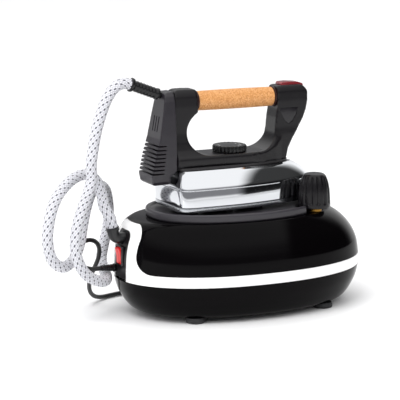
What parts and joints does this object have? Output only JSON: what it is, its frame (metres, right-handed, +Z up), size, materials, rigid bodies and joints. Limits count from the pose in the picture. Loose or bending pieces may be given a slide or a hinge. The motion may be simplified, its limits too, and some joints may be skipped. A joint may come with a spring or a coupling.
{
  "type": "steam generator iron",
  "caption": "Steam generator iron: a cork-handled iron on its boiler base, with filler cap, power switch, braided steam hose and mains lead.",
  "frame": {"origin": "middle of the boiler base, on the surface its feet stand on", "axes": "+X towards the iron's nose, +Z up, -Y towards the front side with the filler cap"},
  "size_m": [0.5064, 0.3367, 0.345],
  "materials": {
    "black_shell": "polished black",
    "white_trim": "glossy white",
    "dark_plastic": "satin dark grey",
    "tray_plastic": "satin heat-proof grey",
    "silicone": "matt silicone",
    "rubber": "matt rubber",
    "zinc_steel": "zinc plated",
    "boiler_steel": "pressed stainless steel",
    "heater_steel": "dull heater sheath",
    "brass": "turned brass",
    "copper": "drawn copper pipe",
    "terminal_plastic": "cream moulding",
    "seal_silicone": "silicone",
    "charcoal_plastic": "fine textured charcoal",
    "black_plastic": "fine textured black",
    "red_rocker": "translucent red, lit",
    "gland_rubber": "ribbed rubber",
    "sole_aluminium": "brushed",
    "chrome_skin": "mirror polished",
    "shield_plastic": "matt phenolic",
    "cover_plastic": "fine textured black",
    "cork": "pressed cork, lightly sealed",
    "collar_plastic": "dark reddish brown",
    "button_plastic": "translucent dark red",
    "spring_steel": "bright wire",
    "dial_plastic": "satin black",
    "thermostat_ceramic": "unglazed",
    "inset_plastic": "semi-gloss charcoal",
    "hose_braid": "white woven braid with black flecks",
    "lead_rubber": "matt black sheath",
    "tie_plastic": "soft grey strap",
    "plug_rubber": "moulded rubber",
    "pin_brass": "nickelled brass"
  },
  "bodies": {
    "base": {"lower_housing": "black_shell", "upper_housing": "black_shell", "trim_band": "white_trim", "rear_frame": "white_trim", "rear_panel": "dark_plastic", "iron_tray": "tray_plastic", "tray_pads": "silicone", "rubber_feet": "rubber", "foot_screws": "zinc_steel", "boiler_lower_shell": "boiler_steel", "boiler_upper_shell": "boiler_steel", "boiler_heater": "heater_steel", "boiler_posts": "zinc_steel", "pressure_switch": "zinc_steel", "boiler_thermostat": "zinc_steel", "steam_valve": "brass", "inlet_pipe": "copper", "outlet_pipe": "copper", "base_terminal_block": "terminal_plastic", "filler_neck": "brass", "switch_frame": "black_plastic", "hose_gland": "black_plastic", "mains_gland": "gland_rubber", "hose_lower": "hose_braid", "mains_lead": "lead_rubber", "mains_coil": "lead_rubber", "coil_tie": "tie_plastic", "plug_tail": "lead_rubber", "mains_plug": "plug_rubber", "plug_pins": "pin_brass"},
    "cap_plug": {"filler_plug": "brass", "plug_seal": "seal_silicone"},
    "cap_knob": {"filler_cap": "charcoal_plastic"},
    "power_rocker": {"switch_rocker": "red_rocker"},
    "iron": {"soleplate": "sole_aluminium", "sole_heater": "heater_steel", "steam_chamber_cover": "zinc_steel", "chrome_skirt": "chrome_skin", "heat_shield": "shield_plastic", "handle_body": "charcoal_plastic", "rear_cover": "cover_plastic", "cork_grip": "cork", "grip_rod": "zinc_steel", "rear_collar": "collar_plastic", "front_collar": "collar_plastic", "button_spring": "spring_steel", "microswitch": "black_plastic", "sole_thermostat": "thermostat_ceramic", "thermal_fuse": "terminal_plastic", "iron_terminal_block": "terminal_plastic", "steam_tube": "seal_silicone", "hose_strain_relief": "gland_rubber", "column_insets": "inset_plastic", "handle_screws": "zinc_steel", "hose_upper": "hose_braid"},
    "steam_button": {"steam_button": "button_plastic"},
    "dial": {"temperature_dial": "dial_plastic", "dial_shaft": "zinc_steel"}
  },
  "joints": [
    {"name": "iron_lift", "type": "slide", "parent": "base", "child": "iron", "axis": [0, 0, 1], "range_m": [0, 0.08]},
    {"name": "steam_button_press", "type": "slide", "parent": "iron", "child": "steam_button", "axis": [0, 0, -1], "range_m": [0, 0.0025], "stiffness_N_per_m": 800, "springref_m": -0.001, "deforming": ["button_spring"]},
    {"name": "dial_turn", "type": "hinge", "parent": "iron", "child": "dial", "pos_m": [-0.015, 0, 0.235], "axis": [0, 0, 1], "range_deg": [0, 270]},
    {"name": "switch_rock", "type": "hinge", "parent": "base", "child": "power_rocker", "pos_m": [-0.1838, 0, 0.091], "axis": [0, 1, 0], "range_deg": [0, 14]},
    {"name": "cap_rise", "type": "slide", "parent": "base", "child": "cap_plug", "axis": [0, 0, 1], "range_m": [0, 0.012]},
    {"name": "cap_turn", "type": "hinge", "parent": "cap_plug", "child": "cap_knob", "pos_m": [0.097, -0.053, 0.16], "axis": [0, 0, 1], "range_deg": [0, 1440]}
  ],
  "couplings": [
    {"joint": "cap_turn", "follows": "cap_rise", "rad_per_m": 2094.4}
  ]
}
